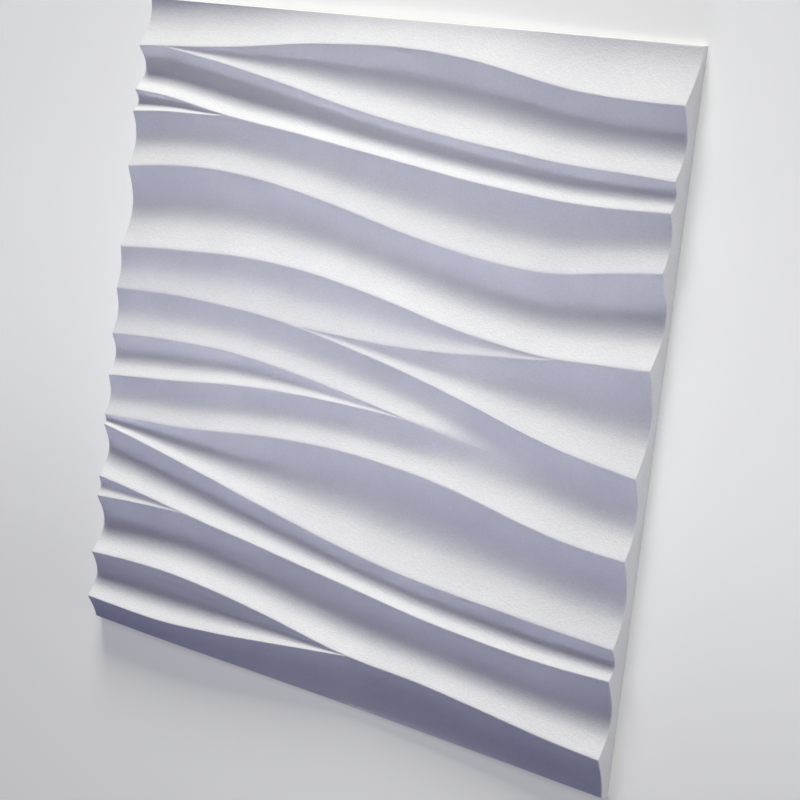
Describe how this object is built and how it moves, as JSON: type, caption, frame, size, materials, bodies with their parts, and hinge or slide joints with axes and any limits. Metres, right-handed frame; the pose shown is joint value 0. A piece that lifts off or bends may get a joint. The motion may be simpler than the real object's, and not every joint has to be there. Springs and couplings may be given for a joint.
{
  "type": "3d wall panel tile",
  "caption": "Square cast plaster wall tile with a flat back and a face of long flowing grooves that meet in sharp crests, for glueing to a wall edge to edge.",
  "frame": {"origin": "middle of the flat back face, on which the tile lies", "axes": "+X along the grooves, to the right in the picture; +Y up the picture; +Z out of the relief face, away from the wall"},
  "size_m": [0.6, 0.6, 0.021],
  "materials": {
    "white_plaster": "matte"
  },
  "bodies": {
    "root": {"wave_panel": "white_plaster"}
  },
  "joints": []
}
